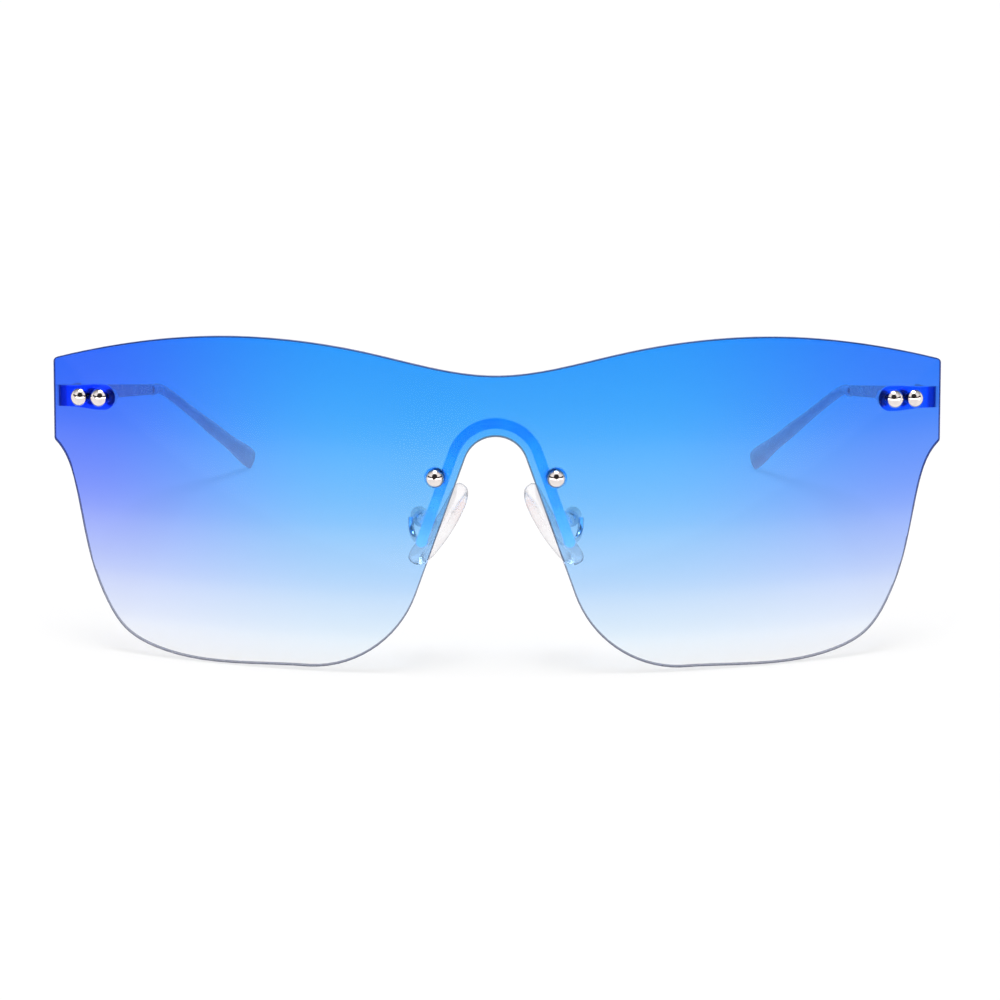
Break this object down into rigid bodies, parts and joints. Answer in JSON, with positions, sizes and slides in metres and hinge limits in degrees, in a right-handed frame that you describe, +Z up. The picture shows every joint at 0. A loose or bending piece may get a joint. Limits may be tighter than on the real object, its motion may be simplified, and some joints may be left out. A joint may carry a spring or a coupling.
{
  "type": "shield sunglasses",
  "caption": "Rimless shield sunglasses: one curved blue gradient lens on domed studs, a metal bridge bar with rocking nose pads, and slim folding temples with flared tips.",
  "frame": {"origin": "on the floor under the middle of the glasses, as they stand on the lens lobes and the temple tips", "axes": "+Z up, +Y from the lens back along the temples, +X to the wearer's left"},
  "size_m": [0.148, 0.1536, 0.0536],
  "materials": {
    "lens_tint": "polished sheet with a tint from deep blue at the top to clear at the bottom",
    "silver_metal": "satin silver plate",
    "temple_plate": "satin rose plate",
    "stud_chrome": "mirror polish",
    "screw_steel": "bright turned steel",
    "clear_bush": "clear moulded nylon",
    "tip_acetate": "polished mauve-grey acetate",
    "pad_silicone": "clear soft silicone"
  },
  "bodies": {
    "front": {"shield_lens": "lens_tint", "bridge_bar": "silver_metal", "bridge_studs": "stud_chrome", "bridge_bushes": "clear_bush", "bridge_nuts": "stud_chrome", "end_studs_left": "stud_chrome", "end_bushes_left": "clear_bush", "end_nuts_left": "stud_chrome", "endpiece_left": "silver_metal", "front_hinge_left": "silver_metal", "hinge_screw_left": "screw_steel", "pad_arm_left": "silver_metal", "pad_screw_left": "screw_steel", "end_studs_right": "stud_chrome", "end_bushes_right": "clear_bush", "end_nuts_right": "stud_chrome", "endpiece_right": "silver_metal", "front_hinge_right": "silver_metal", "hinge_screw_right": "screw_steel", "pad_arm_right": "silver_metal", "pad_screw_right": "screw_steel"},
    "left_temple": {"temple_left": "temple_plate", "temple_hinge_left": "temple_plate", "temple_tip_left": "tip_acetate"},
    "right_temple": {"temple_right": "temple_plate", "temple_hinge_right": "temple_plate", "temple_tip_right": "tip_acetate"},
    "left_pad": {"nose_pad_left": "pad_silicone", "pad_core_left": "clear_bush"},
    "right_pad": {"nose_pad_right": "pad_silicone", "pad_core_right": "clear_bush"}
  },
  "joints": [
    {"name": "left_temple_fold", "type": "hinge", "parent": "front", "child": "left_temple", "pos_m": [0.0714, -0.04233, 0.03948], "axis": [0, 0.1267, 0.9919], "range_deg": [0, 88]},
    {"name": "right_temple_fold", "type": "hinge", "parent": "front", "child": "right_temple", "pos_m": [-0.0714, -0.04233, 0.03948], "axis": [0, -0.1267, -0.9919], "range_deg": [0, 82]},
    {"name": "left_pad_rock", "type": "hinge", "parent": "front", "child": "left_pad", "pos_m": [0.0124, -0.06654, 0.02377], "axis": [0.2158, 0.9762, 0.0193], "range_deg": [-10, 10]},
    {"name": "right_pad_rock", "type": "hinge", "parent": "front", "child": "right_pad", "pos_m": [-0.0124, -0.06654, 0.02377], "axis": [-0.2158, 0.9762, 0.0193], "range_deg": [-10, 10]}
  ]
}
